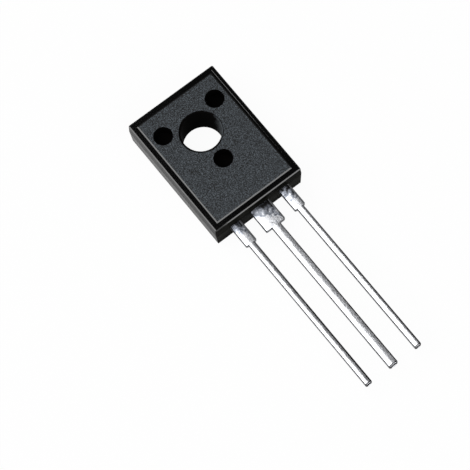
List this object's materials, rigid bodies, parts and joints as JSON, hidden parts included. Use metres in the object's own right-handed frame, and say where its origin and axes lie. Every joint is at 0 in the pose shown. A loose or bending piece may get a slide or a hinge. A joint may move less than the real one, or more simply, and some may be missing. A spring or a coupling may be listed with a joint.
{
  "type": "triac",
  "caption": "Flat black moulded power triac with a lined screw hole, a metal mounting base on its back and straight tinned leads from one end.",
  "frame": {"origin": "centre of the screw hole on the mounting plane at the back", "axes": "+Z along the screw hole, out of the front face; +Y towards the body's top end; the leads run along -Y"},
  "size_m": [0.0078, 0.0259, 0.0027],
  "materials": {
    "black_epoxy": "matte front panel, polished rim, recesses and walls",
    "tinned_copper": "bright hot-dipped tin over copper",
    "silicon": "polished silicon with metal pads",
    "solder": "dull solder",
    "bond_wire": "drawn aluminium wire"
  },
  "bodies": {
    "root": {"moulded_body": "black_epoxy", "mt2_tab_and_lead": "tinned_copper", "mt1_lead": "tinned_copper", "gate_lead": "tinned_copper", "triac_die": "silicon", "die_solder": "solder", "mt1_bond_wire": "bond_wire", "gate_bond_wire": "bond_wire"}
  },
  "joints": []
}
